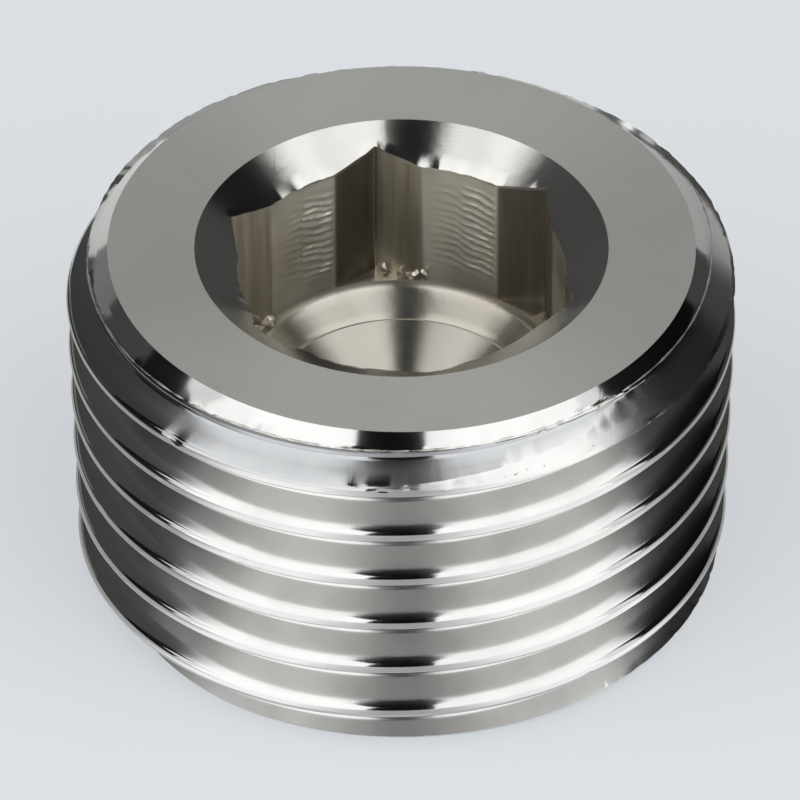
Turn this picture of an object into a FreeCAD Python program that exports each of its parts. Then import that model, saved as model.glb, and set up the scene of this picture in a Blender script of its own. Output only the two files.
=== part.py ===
import FreeCAD, Part
import math
import os

# A hollow-hexagon screw plug with a taper pipe thread over its whole length, in millimetres.
# It stands on its small end. The origin is the centre of the bottom face, and +Z points out of the socket.
# The front is -Y: the thread's place is given there.

# Body
plug_height = 12.0
top_chamfer = 1.36
bottom_chamfer = 0.6
chamfer_angle = 45.0

# Taper thread, right-handed
threads_per_inch = 14
gauge_diameter = 20.955
gauge_length = 8.2
taper_on_diameter = 1 / 16
flank_half_angle = 27.5
crest_radius = 0.31
root_radius = 0.27
crest_flat = 0.17
crest_break_angle = 18.0
first_crest_drop = 1.44

# Hexagon socket, with its first corner turned anticlockwise from +Y
socket_across_flats = 10.0
socket_depth = 5.4
socket_turn = 8.4
pilot_oversize = 0.3
pilot_past_hexagon = 0.15
countersink_lead = 0.73
drill_point_angle = 118.0

# Flat steps that stand for each rounding of the groove
crest_steps = 2
half_root_steps = 2

# How far the cutters run past the metal: along the axis in turns, outwards, and the gap between turns
run_past = 1.5
cutter_reach = 0.6
cutter_gap = 0.01

# Sizes that follow
millimetres_per_inch = 25.4
pitch = millimetres_per_inch / threads_per_inch
taper_on_radius = taper_on_diameter / 2
flank = math.radians(flank_half_angle)
crest_break = math.radians(crest_break_angle)
socket_corner_radius = socket_across_flats / 2 / math.cos(math.radians(30))
pilot_radius = (socket_across_flats + pilot_oversize) / 2
countersink_radius = socket_corner_radius + countersink_lead
point_slope = math.tan(math.radians(90 - drill_point_angle / 2))
pilot_floor = plug_height - socket_depth - pilot_past_hexagon
point_tip = pilot_floor - pilot_radius * point_slope
countersink_depth = (countersink_radius - pilot_radius) * point_slope

AXIS_START = FreeCAD.Vector(0, 0, 0)
AXIS = FreeCAD.Vector(0, 0, 1)


def crest_radius_at(height):
    """Radius of the thread's crests at a height above the bottom face."""
    return gauge_diameter / 2 + (height - gauge_length) * taper_on_radius


def turned_blank():
    """The body as it is turned, drilled and countersunk, before its thread and hexagon are cut."""
    chamfer_slope = math.tan(math.radians(chamfer_angle))
    bottom_rise = bottom_chamfer * chamfer_slope / (1 - taper_on_radius * chamfer_slope)
    top_drop = top_chamfer * chamfer_slope / (1 + taper_on_radius * chamfer_slope)
    outline = [
        (0, 0),
        (crest_radius_at(0) - bottom_chamfer, 0),
        (crest_radius_at(bottom_rise), bottom_rise),
        (crest_radius_at(plug_height - top_drop), plug_height - top_drop),
        (crest_radius_at(plug_height) - top_chamfer, plug_height),
        (countersink_radius, plug_height),
        (pilot_radius, plug_height - countersink_depth),
        (pilot_radius, pilot_floor),
        (0, point_tip),
    ]
    points = [FreeCAD.Vector(radius, 0, height) for radius, height in outline]
    section = Part.Face(Part.makePolygon(points + points[:1]))
    return section.revolve(AXIS_START, AXIS, 360)


def hexagon_broach():
    """The hexagonal prism that is pushed down the pilot hole."""
    corners = []
    for number in range(7):
        angle = math.radians(90 + socket_turn + 60 * number)
        x = socket_corner_radius * math.cos(angle)
        y = socket_corner_radius * math.sin(angle)
        corners.append(FreeCAD.Vector(x, y, plug_height - socket_depth))
    return Part.Face(Part.makePolygon(corners)).extrude(AXIS * (socket_depth + cutter_reach))


def spread(first, last, steps):
    """Evenly spaced values from the first to the last."""
    return [first + (last - first) * step / steps for step in range(steps + 1)]


def groove_profile():
    """The groove's section, as points out from the crest line and up from the groove's middle."""
    edge_up = pitch / 2 - crest_flat / 2
    rim_up = pitch / 2 - cutter_gap
    rim_out = (rim_up - edge_up) * math.tan(crest_break)
    square = math.radians(90)

    crest_out = -crest_radius * math.cos(crest_break)
    crest_up = edge_up + crest_radius * math.sin(crest_break)
    crest_arc = []
    for angle in spread(crest_break, square - flank, crest_steps):
        crest_arc.append((crest_out + crest_radius * math.cos(angle), crest_up - crest_radius * math.sin(angle)))

    flank_up = crest_arc[-1][1] - root_radius * math.cos(flank)
    root_out = crest_arc[-1][0] - flank_up / math.tan(flank) + root_radius * math.sin(flank)
    root_arc = []
    for angle in spread(square - flank, 0, half_root_steps):
        root_arc.append((root_out - root_radius * math.cos(angle), root_radius * math.sin(angle)))

    upper_half = [(cutter_reach, rim_up), (rim_out, rim_up)] + crest_arc + root_arc
    lower_half = [(out, -up) for out, up in reversed(upper_half[:-1])]
    return upper_half + lower_half


def thread_cutter():
    """The groove's section swept along a helix that widens with the taper."""
    start_height = -run_past * pitch
    start_radius = crest_radius_at(start_height)
    points = [FreeCAD.Vector(start_radius + out, 0, start_height + up) for out, up in groove_profile()]
    section = Part.makePolygon(points + points[:1])

    sweep_height = plug_height + 2 * run_past * pitch
    cone_angle = math.degrees(math.atan(taper_on_radius))
    helix = Part.makeLongHelix(pitch, sweep_height, start_radius, cone_angle)
    helix.translate(AXIS * start_height)
    sweep = Part.BRepOffsetAPI.MakePipeShell(Part.Wire(helix.Edges))
    sweep.setBiNormalMode(AXIS)
    sweep.add(section, False, False)
    sweep.build()
    sweep.makeSolid()

    front = -90
    groove_height = plug_height - first_crest_drop - pitch / 2
    turns_to_groove = (groove_height - start_height) / pitch
    cutter = sweep.shape()
    cutter.rotate(AXIS_START, AXIS, front - 360 * turns_to_groove)
    return cutter


def plug_body():
    """The finished plug, one piece of metal."""
    return turned_blank().cut(hexagon_broach()).cut(thread_cutter())


os.makedirs("parts", exist_ok=True)
plug_body().exportStep("parts/plug_body.step")
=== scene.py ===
"""Dresses a headless taper plug of nickel-plated brass, with a hexagon socket, and sets it in a small studio.

One frame holds for all of it: metres, +Z out of the socket, the thread's small end on the floor at the
origin, and -Y towards the camera. The body is one closed skin on a grid of columns round the axis and rows
along the profile: up the thread, over the end face, and down the socket to the drill's point.
"""

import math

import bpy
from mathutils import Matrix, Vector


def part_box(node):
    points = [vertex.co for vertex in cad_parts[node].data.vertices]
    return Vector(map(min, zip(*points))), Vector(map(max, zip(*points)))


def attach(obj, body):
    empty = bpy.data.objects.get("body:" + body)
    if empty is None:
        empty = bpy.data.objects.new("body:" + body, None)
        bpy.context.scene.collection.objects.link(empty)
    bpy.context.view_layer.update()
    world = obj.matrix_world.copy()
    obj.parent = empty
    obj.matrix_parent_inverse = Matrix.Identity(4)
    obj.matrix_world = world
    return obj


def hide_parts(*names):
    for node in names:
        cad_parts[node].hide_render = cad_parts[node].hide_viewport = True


bl_info = {
    "name": "Threaded Hex Plug",
    "version": (1, 0, 0),
    "blender": (4, 5, 0),
    "location": "3D Viewport > Sidebar > Plug",
    "description": "Dresses a nickel-plated taper plug and sets it in a small studio",
    "category": "Add Mesh",
}

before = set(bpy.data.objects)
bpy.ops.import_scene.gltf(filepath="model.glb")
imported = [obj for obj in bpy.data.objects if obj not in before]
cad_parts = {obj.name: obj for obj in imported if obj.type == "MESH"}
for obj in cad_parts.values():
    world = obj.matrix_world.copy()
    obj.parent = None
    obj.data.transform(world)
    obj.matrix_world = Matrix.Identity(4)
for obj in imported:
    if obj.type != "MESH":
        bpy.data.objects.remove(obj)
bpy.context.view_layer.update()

NODE = "plug_body"
BODY = "root"
NODE_LOW, NODE_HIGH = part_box(NODE)

MM = 0.001
DEGREE = math.pi / 180
FULL_TURN = 2 * math.pi
CORNERS = 6
CORNER_STEP = FULL_TURN / CORNERS
FRONT = -90 * DEGREE
BACK = 90 * DEGREE
TOLERANCE = 0.001 * MM
CLOSE_BY = 0.02 * MM


# Sizes and finishes that a user would change

def length(label, description, default):
    """A size in metres."""
    return bpy.props.FloatProperty(
        name=label, description=description, default=default, min=0.0, precision=5, unit="LENGTH"
    )


def angle(label, description, default):
    """An angle, given here in degrees."""
    return bpy.props.FloatProperty(
        name=label, description=description, default=default * DEGREE, subtype="ANGLE"
    )


def colour(label, description, default):
    """A colour, as linear red, green and blue."""
    return bpy.props.FloatVectorProperty(
        name=label, description=description, default=default, min=0.0, max=1.0, size=3, subtype="COLOR"
    )


def count(label, description, default):
    """A whole number of rows, columns or copies."""
    return bpy.props.IntProperty(name=label, description=description, default=default, min=1)


class PlugSizes(bpy.types.PropertyGroup):
    """Sizes of the turned and tapped body."""

    plug_height: length("Plug Height", "From the small end to the end face", NODE_HIGH.z - NODE_LOW.z)
    top_chamfer: length("Top Chamfer", "How far the end face lies inside the crests", 1.36 * MM)
    bottom_chamfer: length("Bottom Chamfer", "How far the small end lies inside the crests", 0.6 * MM)
    pitch: length("Pitch", "From crest to crest along the axis, 14 turns to 25.4 mm", 25.4 * MM / 14)
    gauge_radius: length("Gauge Radius", "Crest radius at the gauge height", 20.955 * MM / 2)
    gauge_height: length("Gauge Height", "Where the gauge radius is measured", 8.2 * MM)
    taper: bpy.props.FloatProperty(
        name="Taper", description="Growth of the radius along the axis", default=1 / 32, precision=5
    )
    flank_angle: angle("Flank Angle", "Between a flank and a plane across the axis", 27.5)
    crest_radius: length("Crest Radius", "Rounding of the crests", 0.31 * MM)
    root_radius: length("Root Radius", "Rounding of the roots", 0.27 * MM)
    first_crest_drop: length("First Crest Drop", "From the end face to the first crest, in front", 1.44 * MM)
    across_flats: length("Across Flats", "Width of the hexagon socket", 10.0 * MM)
    socket_depth: length("Socket Depth", "Depth of the hexagon", 5.4 * MM)
    socket_turn: angle("Socket Turn", "From the back to the first corner, anticlockwise", 8.4)
    pilot_radius: length("Pilot Radius", "Radius of the drilled hole", 5.15 * MM)
    pilot_past_hexagon: length("Pilot Past Hexagon", "From the hexagon's end to the drill's cone", 0.15 * MM)
    drill_ring: length("Drill Ring", "Radius of the ring scored by the worn drill", 4.14 * MM)
    mouth_radius: length("Mouth Radius", "Radius of the countersink in the end face", 6.503 * MM)
    point_angle: angle("Point Angle", "Angle of the drill's point and of the countersink", 118.0)
    columns: count("Columns", "Columns round the axis, a multiple of six", 360)
    rows_per_turn: count("Rows per Turn", "Rows from crest to crest, an even number", 24)


class FinishColours(bpy.types.PropertyGroup):
    """Colours of the plated surfaces and of the floor."""

    nickel: colour("Nickel", "Bright plating on the thread", (0.58, 0.578, 0.568))
    satin_nickel: colour("Satin Nickel", "Plating on the end face", (0.56, 0.563, 0.533))
    socket_nickel: colour("Socket Nickel", "Plating on the countersink", (0.58, 0.575, 0.55))
    drilled_wall: colour("Drilled Wall", "Plating on the drilled wall", (0.74, 0.71, 0.635))
    drilled_point: colour("Drilled Point", "Plating on the drill's cone", (0.42, 0.405, 0.36))
    left_flat: colour("Left Flat", "Burnished flats, anticlockwise from each corner", (0.17, 0.155, 0.13))
    right_flat: colour("Right Flat", "Torn flats, clockwise from each corner", (0.62, 0.57, 0.47))
    torn_nickel: colour("Torn Nickel", "Chips and burrs", (0.6, 0.57, 0.51))
    stain: colour("Stain", "Thin and stained plating in the socket", (0.3, 0.255, 0.19))
    floor: colour("Floor", "Pale floor", (0.73, 0.765, 0.795))


SETTINGS = {"plug_sizes": PlugSizes, "plug_finish": FinishColours}


# Node trees, and plain formulas in them

class Number:
    """A value in a node tree. A sum written with it lays out Math nodes."""

    def __init__(self, tree, socket):
        self.tree = tree
        self.socket = socket

    def calc(self, operation, *others):
        return calc(self.tree, operation, self, *others)

    def __add__(self, other):
        return self.calc("ADD", other)

    def __radd__(self, other):
        return self.calc("ADD", other)

    def __sub__(self, other):
        return self.calc("SUBTRACT", other)

    def __rsub__(self, other):
        return calc(self.tree, "SUBTRACT", other, self)

    def __mul__(self, other):
        return self.calc("MULTIPLY", other)

    def __rmul__(self, other):
        return self.calc("MULTIPLY", other)

    def __truediv__(self, other):
        return self.calc("DIVIDE", other)

    def __rtruediv__(self, other):
        return calc(self.tree, "DIVIDE", other, self)

    def __neg__(self):
        return self.calc("MULTIPLY", -1.0)


def put(tree, socket, value):
    """Feeds a socket from a Number or another socket, or sets it to a plain value."""
    if isinstance(value, Number):
        tree.links.new(value.socket, socket)
    elif isinstance(value, bpy.types.NodeSocket):
        tree.links.new(value, socket)
    else:
        socket.default_value = value


def add_node(tree, kind, inputs=None, **settings):
    """A node with its settings made and its inputs fed, by name or by number."""
    node = tree.nodes.new(kind)
    for name, value in settings.items():
        setattr(node, name, value)
    for name, value in (inputs or {}).items():
        put(tree, node.inputs[name], value)
    return node


def calc(tree, operation, *values):
    """One Math node."""
    node = add_node(tree, "ShaderNodeMath", dict(enumerate(values)), operation=operation)
    return Number(tree, node.outputs[0])


def lower(a, b):
    return a.calc("MINIMUM", b)


def higher(a, b):
    return a.calc("MAXIMUM", b)


def rounded(a):
    return a.calc("ROUND")


def sine(a):
    return a.calc("SINE")


def cosine(a):
    return a.calc("COSINE")


def tangent(a):
    return a.calc("TANGENT")


def unsigned(a):
    return a.calc("ABSOLUTE")


def squared(a):
    return a.calc("POWER", 2)


def root_of(a):
    """Square root, with nothing below zero."""
    return higher(a, 0.0).calc("SQRT")


def is_over(a, limit):
    return a.calc("GREATER_THAN", limit)


def between(value, start, end):
    """How far a value has come from start to end, from 0 to 1."""
    inputs = {"Value": value, "From Min": start, "From Max": end}
    node = add_node(value.tree, "ShaderNodeMapRange", inputs, clamp=True)
    return Number(value.tree, node.outputs["Result"])


def vector_of(tree, x=0.0, y=0.0, z=0.0):
    """A vector made of three values."""
    return add_node(tree, "ShaderNodeCombineXYZ", {0: x, 1: y, 2: z}).outputs[0]


def parts_of(tree, vector):
    """The three values in a vector, as Numbers."""
    node = add_node(tree, "ShaderNodeSeparateXYZ", {0: vector})
    return [Number(tree, socket) for socket in node.outputs]


def round_place(tree, radius, azimuth, height):
    """A place given by its distance from the axis, its direction and its height."""
    return vector_of(tree, radius * cosine(azimuth), radius * sine(azimuth), height)


def from_axis(x, y):
    """Distance from the axis."""
    return root_of(squared(x) + squared(y))


def object_place(tree):
    """Object coordinates, in a material."""
    return tree.nodes.new("ShaderNodeTexCoord").outputs["Object"]


def mesh_place(tree):
    """Where each point of the mesh lies, in a Geometry Nodes tree."""
    return tree.nodes.new("GeometryNodeInputPosition").outputs[0]


def geometry_tree(name, numbers, counts=(), materials=()):
    """A Geometry Nodes tree with named inputs, and those inputs as Numbers."""
    tree = bpy.data.node_groups.new(name, "GeometryNodeTree")
    tree.interface.new_socket(name="Geometry", in_out="INPUT", socket_type="NodeSocketGeometry")
    kinds = (("NodeSocketFloat", numbers), ("NodeSocketInt", counts), ("NodeSocketMaterial", materials))
    for kind, sockets in kinds:
        for socket in sockets:
            tree.interface.new_socket(name=socket, in_out="INPUT", socket_type=kind)
    tree.interface.new_socket(name="Geometry", in_out="OUTPUT", socket_type="NodeSocketGeometry")
    entry = tree.nodes.new("NodeGroupInput")
    sizes = {name: Number(tree, entry.outputs[name]) for kind, sockets in kinds for name in sockets}
    return tree, sizes


def flat_grid(tree, columns, rows):
    """A flat grid, and how far each of its points has come along the columns and the rows, from 0 to 1."""
    grid = add_node(tree, "GeometryNodeMeshGrid", {
        "Size X": 1.0, "Size Y": 1.0, "Vertices X": columns + 1, "Vertices Y": rows + 1,
    })
    x, y, z = parts_of(tree, mesh_place(tree))
    return grid.outputs["Mesh"], x + 0.5, y + 0.5


def folded(tree, grid, position, seam_width):
    """The grid moved into its shape, with its seams and poles closed."""
    moved = add_node(tree, "GeometryNodeSetPosition", {"Geometry": grid, "Position": position})
    merged = add_node(tree, "GeometryNodeMergeByDistance", {
        "Geometry": moved.outputs[0], "Distance": seam_width,
    })
    return merged.outputs[0]


def shaded(tree, geometry, sharpest):
    """Smooth faces, with the edges sharp where faces meet at more than an angle."""
    faces = add_node(tree, "GeometryNodeSetShadeSmooth", {
        "Geometry": geometry, "Shade Smooth": True,
    }, domain="FACE")
    meeting = Number(tree, tree.nodes.new("GeometryNodeInputMeshEdgeAngle").outputs["Unsigned Angle"])
    edges = add_node(tree, "GeometryNodeSetShadeSmooth", {
        "Geometry": faces.outputs[0], "Shade Smooth": meeting.calc("LESS_THAN", sharpest),
    }, domain="EDGE")
    return edges.outputs[0]


def stored(tree, geometry, name, value):
    """Stores a number on each point of the mesh."""
    node = add_node(tree, "GeometryNodeStoreNamedAttribute", {
        "Geometry": geometry, "Name": name, "Value": value,
    }, data_type="FLOAT", domain="POINT")
    return node.outputs[0]


def painted(tree, geometry, material, where=None):
    """Gives the faces a material, all of them or only some."""
    node = add_node(tree, "GeometryNodeSetMaterial", {"Geometry": geometry, "Material": material})
    if where is not None:
        put(tree, node.inputs["Selection"], where)
    return node.outputs[0]


def finish_tree(tree, geometry):
    """Ends a tree in real geometry."""
    real = add_node(tree, "GeometryNodeRealizeInstances", {"Geometry": geometry})
    leave = tree.nodes.new("NodeGroupOutput")
    tree.links.new(real.outputs[0], leave.inputs[0])


def finished_mesh(name, tree, values):
    """The tree's result as a plain mesh object at the origin, with no modifier left."""
    carrier = bpy.data.objects.new(name + "_carrier", bpy.data.meshes.new(name + "_carrier"))
    bpy.context.scene.collection.objects.link(carrier)
    modifier = carrier.modifiers.new("Shape", "NODES")
    modifier.node_group = tree
    for item in tree.interface.items_tree:
        if item.item_type == "SOCKET" and item.in_out == "INPUT" and item.name in values:
            modifier[item.identifier] = values[item.name]
    bpy.context.view_layer.update()
    evaluated = carrier.evaluated_get(bpy.context.evaluated_depsgraph_get())
    mesh = bpy.data.meshes.new_from_object(evaluated)
    carrier.modifiers.remove(modifier)
    bpy.data.objects.remove(carrier)
    if not mesh.polygons:
        raise RuntimeError(f"the tree for {name} made no faces")
    mesh.name = name
    piece = bpy.data.objects.new(name, mesh)
    bpy.context.scene.collection.objects.link(piece)
    return piece


# Body

BODY_LENGTHS = (
    "Plug Height", "Top Chamfer", "Bottom Chamfer", "Pitch", "Gauge Radius", "Gauge Height", "Crest Radius",
    "Root Radius", "First Crest Drop", "Across Flats", "Socket Depth", "Pilot Radius", "Pilot Past Hexagon",
    "Drill Ring", "Mouth Radius",
)
BODY_SLOPES = ("Taper", "Flank Angle", "Socket Turn", "Point Angle")
BODY_NUMBERS = BODY_LENGTHS + BODY_SLOPES + ("Turns Below", "Turns")
BODY_COUNTS = ("Columns", "Rows per Turn")
BODY_MATERIALS = ("Thread Finish", "End Face Finish", "Socket Finish")

# Rows of each stretch of the profile inside the rim
FACE_ROWS = 4
CONE_ROWS = 6
BROACHED_ROWS = 66
LEDGE_ROWS = 2
ARC_ROWS = 2
ARC_STEPS = 4
POINT_RIM_ROWS = 4
RING_ROWS = 2
POINT_ROWS = 10
INNER_ROWS = (
    FACE_ROWS + CONE_ROWS + BROACHED_ROWS + LEDGE_ROWS + ARC_STEPS * ARC_ROWS
    + POINT_RIM_ROWS + 2 * RING_ROWS + POINT_ROWS
)

# Share of a half turn's rows that each stretch of the section takes, and how far the rows run past an end
CREST_SHARE = 5 / 12
ROOT_SHARE = 5 / 12
TURNS_PAST = 0.6

# Rounding at the foot of the drilled wall, left by the drill's worn corner
WORN_CORNER = 0.5 * MM

# Rounding of the topmost groove's root, which the thread cutter only half entered, and where it fades in
TOP_ROOT = 0.38 * MM
TOP_GROOVE_START = (-0.42, -0.22)

# The ring scored into the drill's cone
RING_WIDTH = 0.05 * MM
RING_DEPTH = 0.02 * MM

# Ragged edges where the groove meets a chamfer: how fine, how much of the noise bites, how deep, how wide
RAGGED_SCALE = 2600.0
RAGGED_BITE = (0.5, 0.75)
RAGGED_DEPTH = 0.06 * MM
EDGE_REACH = 0.1 * MM

# The thin lip that stands on the top chamfer's edges
LIP_REACH = 0.03 * MM
LIP_HEIGHT = 0.05 * MM
LIP_LEAST = 0.2

# Dents on the thread
DENT_SCALE = 900.0
DENT_BITE = (0.72, 0.8)
DENT_DEPTH = 0.03 * MM
DENT_PATTERN_RISE = 0.3

# The broken edge round the hexagon's mouth
BROKEN_SCALE = 2200.0
BROKEN_BITE = (0.45, 0.75)
BROKEN_DEPTH = 0.06 * MM
BROKEN_ROWS = 0.9

# The ragged burr on the outer edge of the top chamfer, behind
BACK_BURR = 0.2 * MM
BACK_BURR_LEAST = 0.25
BACK_BURR_LEAN = 0.15
BACK_BURR_FADE = (0.05, 0.4)
BACK_BURR_COARSE = 1.6
BACK_BURR_FINE = 9

# Chatter of the broach on the drilled wall, strongest beside the anticlockwise flat of each corner
CHATTER_PITCH = 0.28 * MM
CHATTER_HEIGHT = 0.045 * MM
CHATTER_FADE = (27 * DEGREE, 8 * DEGREE)
CHATTER_TOP = (1.1 * MM, 1.6 * MM)
CHATTER_BOTTOM = (5.0 * MM, 4.5 * MM)
CHATTER_PATCH = 0.8 * MM
CHATTER_PATCHES_ROUND = 6
CHATTER_LEAST = 0.4
CHATTER_SLANT = 2.5
CHATTER_WANDER = 1.6
BESIDE_FLAT = 0.5 * DEGREE

# Where the polish fades out, along the axis from a crest and down from the end face
POLISHED_CREST = (0.42 * MM, 0.22 * MM)
POLISHED_CHAMFER = (0.42 * MM, 0.34 * MM)

# Roughness of the plating on the outside
POLISHED = 0.08
CUT_GROOVE = 0.2
TURNED_CHAMFER = 0.2

# The topmost groove, in turns up from the first crest: where a dimmer, bluish reflection is painted on it and
# where it is polished
PAINTED_DULL_FROM = (0.03, 0.1)
POLISHED_FROM = (0.34, 0.42)

# Where the socket's wall starts below the countersink, how it blends into the cone, and where a flat starts
WALL_START = (0.03 * MM, 0.12 * MM)
CONE_BLEND = 0.25 * MM
FLAT_START = (0.005 * MM, 0.03 * MM)

# Faces that meet at more than this keep a sharp edge
SHARP_BODY = 16 * DEGREE
SHARP_BEAD = 60 * DEGREE
SHARP_LUMP = 40 * DEGREE


def section_ends(size):
    """How far along the axis the crest's and the root's rounding reach, and the flank between them."""
    flank = size["Flank Angle"]
    crest_end = size["Crest Radius"] * cosine(flank)
    root_end = size["Root Radius"] * cosine(flank)
    return crest_end, root_end, size["Pitch"] / 2 - crest_end - root_end


def groove_drop(size, distance):
    """How far the section lies inside the crest, at a distance along the axis from a crest."""
    flank = size["Flank Angle"]
    crest_end, root_end, flank_length = section_ends(size)
    over_crest = lower(distance, crest_end)
    down_flank = higher(lower(distance - crest_end, flank_length), 0.0)
    from_root = lower(size["Pitch"] / 2 - distance, root_end)
    crest_drop = size["Crest Radius"] - root_of(squared(size["Crest Radius"]) - squared(over_crest))
    root_rise = size["Root Radius"] - root_of(squared(size["Root Radius"]) - squared(from_root))
    root_drop = size["Root Radius"] * (1 - sine(flank)) - root_rise
    return crest_drop + down_flank / tangent(flank) + root_drop


def section_rows(size, steps):
    """Distance from the crest at a share of the half turn's rows, closer together on the roundings."""
    opening = 90 * DEGREE - size["Flank Angle"]
    root_end, flank_length = section_ends(size)[1:]
    over_crest = size["Crest Radius"] * sine(between(steps, 0.0, CREST_SHARE) * opening)
    down_flank = flank_length * between(steps, CREST_SHARE, 1 - ROOT_SHARE)
    to_root = root_end - size["Root Radius"] * sine(between(steps, 1.0, 1 - ROOT_SHARE) * opening)
    return over_crest + down_flank + to_root


def row_height(size, row, turned):
    """Height of a row that follows the thread, at so many turns from the front."""
    turn = (row / size["Rows per Turn"]).calc("FLOOR")
    place = row / size["Rows per Turn"] - turn
    from_crest = section_rows(size, 1 - unsigned(1 - place * 2))
    rise = from_crest + is_over(place, 0.5) * (size["Pitch"] - from_crest * 2)
    lowest_crest = size["Plug Height"] - size["First Crest Drop"] - size["Turns Below"] * size["Pitch"]
    return lowest_crest + (turn + turned) * size["Pitch"] + rise


def crest_line(size, height):
    """Radius of the crests at a height."""
    return size["Gauge Radius"] + (height - size["Gauge Height"]) * size["Taper"]


def turns_from_first(size, height, turned):
    """Turns of the thread from its first crest to a height, at so many turns from the front."""
    return (height - size["Plug Height"] + size["First Crest Drop"]) / size["Pitch"] - turned


def in_top_groove(from_first, turned):
    """1 in the topmost groove, and fading to 0 where it runs on below the next turn's crest."""
    return is_over(from_first, 0.0) * between(turned, *TOP_GROOVE_START)


def groove_radius(size, height, turned):
    """Radius of the groove at a height, at so many turns from the front."""
    from_first = turns_from_first(size, height, turned)
    distance = unsigned(from_first - rounded(from_first)) * size["Pitch"]
    root = size["Root Radius"] + in_top_groove(from_first, turned) * (TOP_ROOT - size["Root Radius"])
    return crest_line(size, height) - groove_drop(size | {"Root Radius": root}, distance)


def chamfer_radius(size, height):
    """Radius of the nearer end's chamfer at a height."""
    top = crest_line(size, size["Plug Height"]) - size["Top Chamfer"] + size["Plug Height"] - height
    bottom = crest_line(size, 0.0) - size["Bottom Chamfer"] + height
    return lower(top, bottom)


def groove_inset(size, height, turned):
    """How far the groove stands outside the chamfer at a height, or inside it if that is below zero."""
    return groove_radius(size, height, turned) - chamfer_radius(size, height)


def step_to_edge(here, there):
    """Share of the way to the next row where the groove meets the chamfer, if this row is the nearer one."""
    crossed = (here * there).calc("LESS_THAN", 0.0)
    nearer = unsigned(here).calc("LESS_THAN", unsigned(there))
    return crossed * nearer * here / (here - there)


def thread_point(size, row, turned):
    """Radius and height on the threaded outside. Rows next to a chamfer's edge move onto it."""
    heights = [row_height(size, row + step, turned) for step in (-1, 0, 1)]
    insets = [groove_inset(size, height, turned) for height in heights]
    height = heights[1] + step_to_edge(insets[1], insets[2]) * (heights[2] - heights[1])
    height = height + step_to_edge(insets[1], insets[0]) * (heights[0] - heights[1])
    height = higher(lower(height, size["Plug Height"]), 0.0)
    radius = lower(groove_radius(size, height, turned), chamfer_radius(size, height))
    return radius, height


def cone_slope(size):
    """Rise of the drill's cone for each step outwards."""
    return tangent(90 * DEGREE - size["Point Angle"] / 2)


def hexagon_radius(size, aside):
    """Radius of the hexagon's flats, at an angle from the nearest corner."""
    return size["Across Flats"] / 2 / cosine(CORNER_STEP / 2 - aside)


def profile_inside(size, from_corner):
    """Radius, height and rows of each stretch of the profile from the rim to the axis."""
    slope = cone_slope(size)
    wall = higher(hexagon_radius(size, from_corner), size["Pilot Radius"])
    ledge = size["Plug Height"] - size["Socket Depth"]
    point_start = ledge - size["Pilot Past Hexagon"]
    rim = crest_line(size, size["Plug Height"]) - size["Top Chamfer"]

    def on_cone(radius):
        return point_start - (size["Pilot Radius"] - radius) * slope

    turn = size["Point Angle"] / 2
    arc_top = point_start + WORN_CORNER * tangent(turn / 2)
    in_corner = is_over(wall, size["Pilot Radius"])
    first = ((arc_top - ledge) / WORN_CORNER).calc("ARCSINE") * in_corner
    arc = []
    for step in range(ARC_STEPS + 1):
        along = first + (turn - first) * (step / ARC_STEPS)
        radius = size["Pilot Radius"] - WORN_CORNER * (1 - cosine(along))
        arc.append((radius, arc_top - WORN_CORNER * sine(along), ARC_ROWS))
    ring = size["Drill Ring"]
    axis = ring * 0.0
    return [
        (rim, size["Plug Height"], FACE_ROWS),
        (size["Mouth Radius"], size["Plug Height"], CONE_ROWS),
        (wall, size["Plug Height"] - (size["Mouth Radius"] - wall) * slope, BROACHED_ROWS),
        (wall, arc_top + (ledge - arc_top) * in_corner, LEDGE_ROWS),
    ] + arc[:-1] + [
        (*arc[-1][:2], POINT_RIM_ROWS),
        (ring + RING_WIDTH, on_cone(ring + RING_WIDTH), RING_ROWS),
        (ring, on_cone(ring) - RING_DEPTH, RING_ROWS),
        (ring - RING_WIDTH, on_cone(ring - RING_WIDTH), POINT_ROWS),
        (axis, on_cone(axis), 0),
    ]


def noise_at(tree, place, scale, detail):
    """Noise from 0 to 1 at a place."""
    texture = add_node(tree, "ShaderNodeTexNoise", {"Vector": place, "Scale": scale, "Detail": detail})
    return Number(tree, texture.outputs["Fac"])


def thread_wear(tree, size, radius, height, azimuth, turned):
    """How far the outside is worn in: ragged where the groove meets a chamfer, with dents on the crests."""
    ragged = noise_at(tree, round_place(tree, radius, azimuth, height), RAGGED_SCALE, 3.0)
    to_edge = unsigned(groove_inset(size, height, turned))
    at_edge = between(to_edge, EDGE_REACH, 0.0)
    chips = between(ragged, *RAGGED_BITE) * at_edge * RAGGED_DEPTH
    in_upper_half = is_over(height, size["Plug Height"] / 2)
    lip = between(to_edge, LIP_REACH, 0.0) * in_upper_half * (LIP_LEAST + ragged) * LIP_HEIGHT
    dent_place = round_place(tree, radius, azimuth, height + DENT_PATTERN_RISE)
    dents = between(noise_at(tree, dent_place, DENT_SCALE, 1.0), *DENT_BITE)
    return chips + dents * DENT_DEPTH - lip


def back_burr(tree, size, height, azimuth, turned):
    """How far the ragged burr stands up on the outer edge of the top chamfer, behind."""
    uneven = noise_at(tree, vector_of(tree, azimuth * BACK_BURR_COARSE, turned, 0.5), 3.0, 4.0)
    fine = noise_at(tree, vector_of(tree, azimuth * BACK_BURR_FINE, turned, 0.7), 3.0, 3.0)
    at_edge = between(unsigned(groove_inset(size, height, turned)), LIP_REACH, 0.0)
    behind = between(sine(azimuth), *BACK_BURR_FADE) * is_over(height, size["Plug Height"] / 2)
    return at_edge * behind * (BACK_BURR_LEAST + uneven + (fine - 0.5)) * BACK_BURR


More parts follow.
